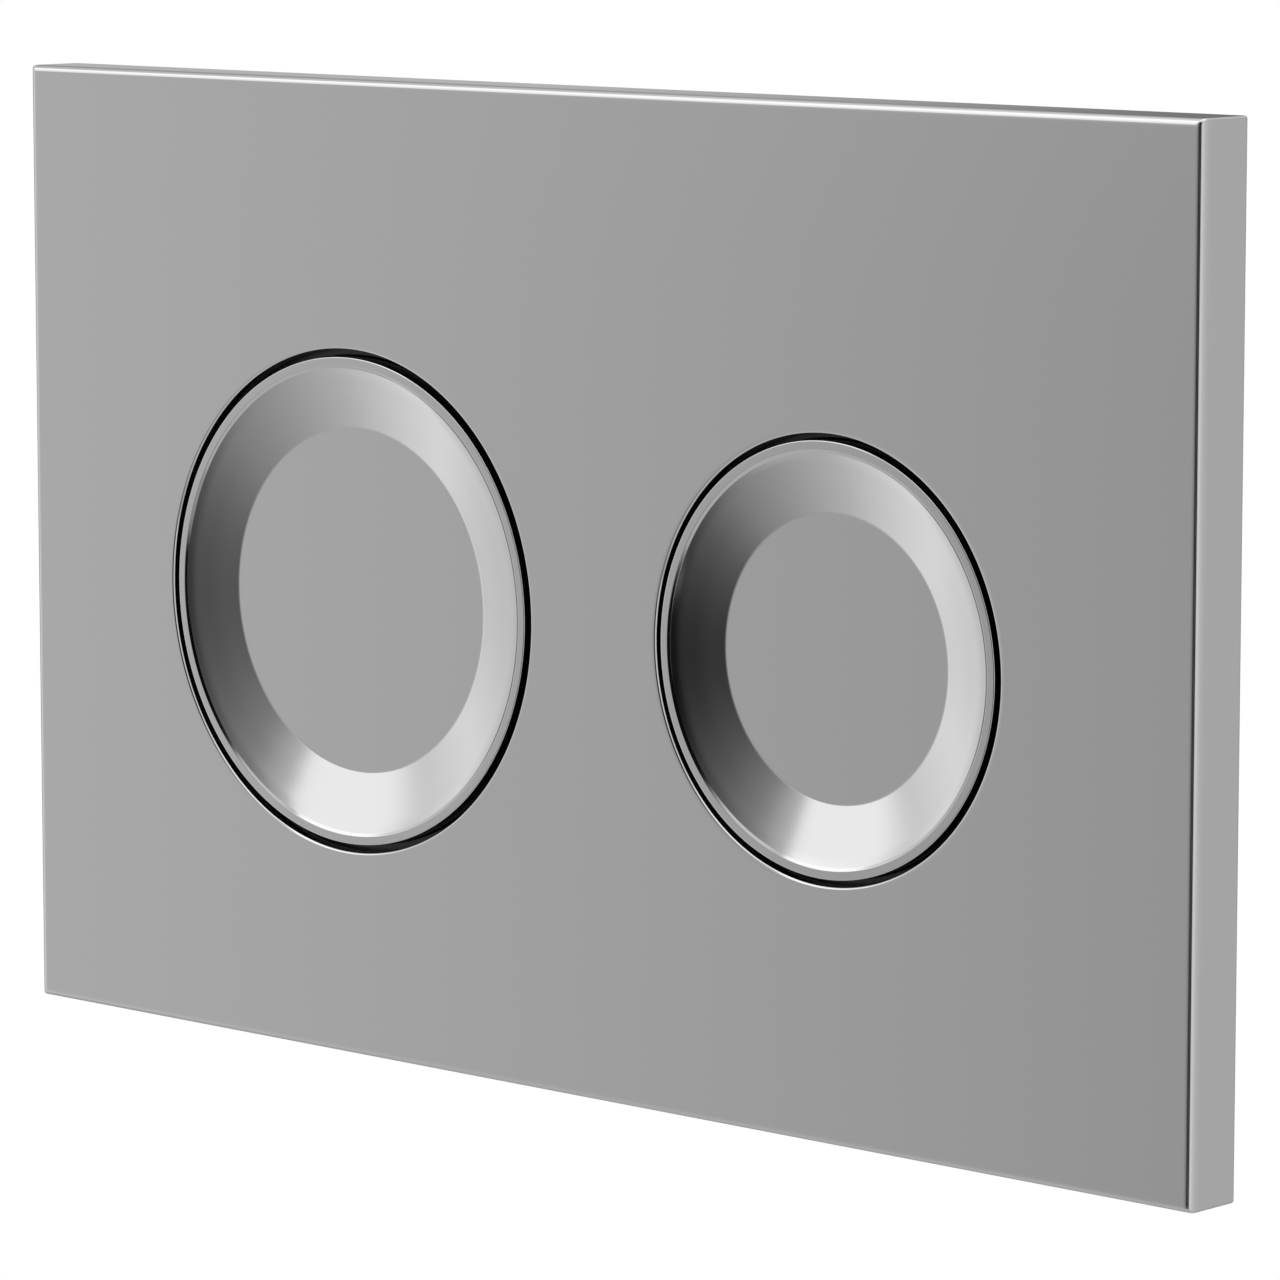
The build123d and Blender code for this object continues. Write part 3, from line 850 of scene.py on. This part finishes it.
def makePlateClips(p):
    # the bent line, with its corners rounded, is moved half a sheet to either side and closed to an outline
    lead = p["front"] + p["lead"]
    top = p["front"] - p["sheet"] / 2
    crest = lead + p["rise"]
    line = roundCorners([(p["front"] + p["insideLeg"], p["inZ"]), (top, p["inZ"]), (top, p["outZ"]),
                         (lead, p["outZ"]), (crest, p["bulgeZ"]), (crest + p["fall"], p["outZ"])],
                        p["bends"], p["steps"])
    along = np.gradient(line, axis=0)
    along /= np.linalg.norm(along, axis=1)[:, None]
    side = np.stack([-along[:, 1], along[:, 0]], -1) * p["sheet"] / 2
    outline = np.vstack([line + side, (line - side)[::-1]])
    shells = [barShell(outline * (1, sign), x, p["half"]) for x in (-p["x"], p["x"]) for sign in (1, -1)]
    return makePiece("plateClipsStrip", shells, "plate", "plate_clips")


makeCarrierScrews(carrierScrew)
makeFrameScrews(frameScrew)
makeFrameWashers(frameWasher)
makePlateClips(plateClip)
mergedCopy("buttonCarrierMoulding", "button_carrier", "plate")
mergedCopy("mountingFrameMoulding", "mounting_frame", "plate")
print("fixed pieces made")

# Camera: a long lens to the right of the plate and a little above it. Places are in metres.
camera = {
    "place": (0.6816, -0.7315, 0.1283),
    "azimuth": 42.733,
    "elevation": 7.749,
    "lens": 178.4,
    "sensor": 36.0,
    "nearest": 0.05,
    "farthest": 50.0,
}


def makeCamera(p):
    data = bpy.data.cameras.new("photoCamera")
    data.sensor_width = p["sensor"]
    data.lens = p["lens"]
    data.clip_start = p["nearest"]
    data.clip_end = p["farthest"]
    shot = bpy.data.objects.new("photoCamera", data)
    bpy.context.scene.collection.objects.link(shot)
    a, e = math.radians(p["azimuth"]), math.radians(p["elevation"])
    back = Vector((math.sin(a) * math.cos(e), -math.cos(a) * math.cos(e), math.sin(e)))
    shot.location = p["place"]
    shot.rotation_mode = "QUATERNION"
    shot.rotation_quaternion = (-back).to_track_quat("-Z", "Y")
    bpy.context.scene.camera = shot


# Studio: a pale room that is dark ahead of the plate, with a soft box high on the left and a bright
# ceiling. Azimuth runs from straight ahead of the plate, + to the camera's side; all angles in degrees.
studio = {
    "room": (  # brightness all round, by azimuth
        (-180, 0.25), (-150, 0.17), (-143, 0.21), (-137, 0.68), (-128, 0.63), (-120, 0.32), (-104, 0.26),
        (-92, 0.5), (-84, 0.78), (-72, 0.93), (-66, 1.2), (-50, 0.715), (-38, 0.505), (-28, 0.345),
        (-20, 0.155), (-12, 0.03), (-6, 0.0), (18, 0.0), (32, 0.6), (46, 0.92), (64, 1.02), (100, 0.84),
        (141, 0.675), (180, 0.25)),
    # Each panel covers those before it. It fades in from the first to the second angle at its left and
    # right sides and in height, upwards where the second is the larger one and downwards where it isn't.
    "panels": {
        "lowCeiling": {"level": 0.9, "left": (-200, -190), "right": (200, 190), "height": (14, 34)},
        "ceiling": {"level": 1.6, "left": (-200, -190), "right": (200, 190), "height": (42, 64)},
        "frontShade": {"level": 0.0, "left": (-12, -7), "right": (24, 17), "height": (32, 24)},
        "frontStrip": {"level": 0.13, "left": (-6.5, -3.5), "right": (8, 5), "height": (1, -4)},
        "lowFront": {"level": 0.44, "left": (-13, -7), "right": (11, 6), "height": (-13, -19)},
        "boxGlow": {"level": 0.68, "left": (-48, -43), "right": (-27, -34), "height": (-5, 6)},
        "softBox": {"level": 1.42, "left": (-60, -51), "right": (-33, -36.5), "height": (4, 8)},
        "boxCore": {"level": 1.7, "left": (-66, -60), "right": (-33, -36.5), "height": (14, 20)},
    },
    "evenLevel": 0.8,  # light on matt surfaces
    "backdrop": 1.0,  # what the camera sees behind the plate
}


def panelMask(tree, panel, azimuth, height):
    # the product of the smooth fades at the panel's sides and in height
    mask = None
    for side, angle in (("left", azimuth), ("right", azimuth), ("height", height)):
        low, high = panel[side]
        fade = addNode(tree, "ShaderNodeMapRange", {"interpolation_type": "SMOOTHSTEP"},
                       {"From Min": math.radians(low), "From Max": math.radians(high)},
                       {"Value": angle}).outputs["Result"]
        mask = fade if mask is None else addNode(tree, "ShaderNodeMath", {"operation": "MULTIPLY"}, None,
                                                 {0: mask, 1: fade}).outputs["Value"]
    return mask


def makeStudio(p):
    world = bpy.data.worlds.new("studio")
    bpy.context.scene.world = world
    world.use_nodes = True
    tree = world.node_tree
    tree.nodes.clear()
    way = addNode(tree, "ShaderNodeTexCoord")
    parts = addNode(tree, "ShaderNodeSeparateXYZ", links={"Vector": way.outputs["Generated"]})
    ahead = addNode(tree, "ShaderNodeMath", {"operation": "MULTIPLY"}, {1: -1.0}, {0: parts.outputs["Y"]})
    azimuth = addNode(tree, "ShaderNodeMath", {"operation": "ARCTAN2"}, None,
                      {0: parts.outputs["X"], 1: ahead.outputs["Value"]}).outputs["Value"]
    height = addNode(tree, "ShaderNodeMath", {"operation": "ARCSINE"}, None,
                     {0: parts.outputs["Z"]}).outputs["Value"]
    share = addNode(tree, "ShaderNodeMapRange", None, {"From Min": -math.pi, "From Max": math.pi},
                    {"Value": azimuth})
    room = addNode(tree, "ShaderNodeValToRGB", links={"Fac": share.outputs["Result"]})
    stops = room.color_ramp.elements
    while len(stops) < len(p["room"]):
        stops.new(0.5)
    for stop, (degrees, level) in zip(stops, p["room"]):
        stop.position = degrees / 360 + 0.5
        stop.color = grey(level)
    light = room.outputs["Color"]
    for panel in p["panels"].values():
        light = mixColours(tree, {mixSecond: grey(panel["level"])},
                           {mixShare: panelMask(tree, panel, azimuth, height), mixFirst: light})
    path = addNode(tree, "ShaderNodeLightPath")
    mirrored = addNode(tree, "ShaderNodeMath", {"operation": "MAXIMUM"}, None,
                       {0: path.outputs["Is Glossy Ray"], 1: path.outputs["Is Transmission Ray"]})
    matt = mixColours(tree, {mixFirst: grey(p["evenLevel"])},
                      {mixShare: mirrored.outputs["Value"], mixSecond: light})
    seen = mixColours(tree, {mixSecond: grey(p["backdrop"])},
                      {mixShare: path.outputs["Is Camera Ray"], mixFirst: matt})
    shine = addNode(tree, "ShaderNodeBackground", links={"Color": seen})
    addNode(tree, "ShaderNodeOutputWorld", links={"Surface": shine.outputs["Background"]})


# Floor: a pale disc far below the plate, which hangs as it does on a wall. Sizes are in metres.
floor = {
    "drop": 1.2,
    "radius": 2.0,
    "count": 96,
    "colour": "e0e0de",
    "shade": "dadad7",
    "patchMm": 1000 / 3,
    "detail": 2.0,
    "lift": 0.36,  # glow that only the camera sees, so that the floor ends in the white behind it
}


def makeFloor(p):
    material, tree = newTree("paleFloorPaint")
    cloud = objectNoise(tree, p["patchMm"], p["detail"])
    paint = mixColours(tree, {mixFirst: linear(p["shade"]), mixSecond: linear(p["colour"])},
                       {mixShare: cloud})
    shade = addNode(tree, "ShaderNodeBsdfDiffuse", links={"Color": paint})
    path = addNode(tree, "ShaderNodeLightPath")
    lift = addNode(tree, "ShaderNodeMath", {"operation": "MULTIPLY"}, {1: p["lift"]},
                   {0: path.outputs["Is Camera Ray"]})
    glow = addNode(tree, "ShaderNodeEmission", links={"Strength": lift.outputs["Value"]})
    shader = addNode(tree, "ShaderNodeAddShader",
                     links={0: shade.outputs["BSDF"], 1: glow.outputs["Emission"]})
    addNode(tree, "ShaderNodeOutputMaterial", links={"Surface": shader.outputs["Shader"]})
    angle = evenAngles(p["count"])
    rim = np.stack([p["radius"] * np.cos(angle), p["radius"] * np.sin(angle), 0 * angle - p["drop"]], -1)
    mesh = bpy.data.meshes.new("studioFloor")
    mesh.from_pydata(rim, [], [list(range(len(rim)))])
    mesh.materials.append(material)
    ground = bpy.data.objects.new("studioFloor", mesh)
    bpy.context.scene.collection.objects.link(ground)


# Lamps: soft panels that shape the matt pieces seen from behind and from the sides. Places are in metres.
lamps = {
    "backPanel": {"place": (0.5, 1.4, 1.5), "size": 0.9, "watts": 12.0},
    "frontPanel": {"place": (-1.4, -1.2, 1.6), "size": 0.9, "watts": 8.0},
}


def makeLamps(p):
    for name, lamp in p.items():
        data = bpy.data.lights.new(name, "AREA")
        data.size = lamp["size"]
        data.energy = lamp["watts"]
        panel = bpy.data.objects.new(name, data)
        panel.location = lamp["place"]
        panel.rotation_mode = "QUATERNION"
        panel.rotation_quaternion = (-Vector(lamp["place"])).to_track_quat("-Z", "Y")
        panel.visible_glossy = False
        bpy.context.scene.collection.objects.link(panel)


makeCamera(camera)
makeStudio(studio)
makeFloor(floor)
makeLamps(lamps)
bpy.context.scene.view_settings.view_transform = "Standard"
print("camera, studio and lamps set")
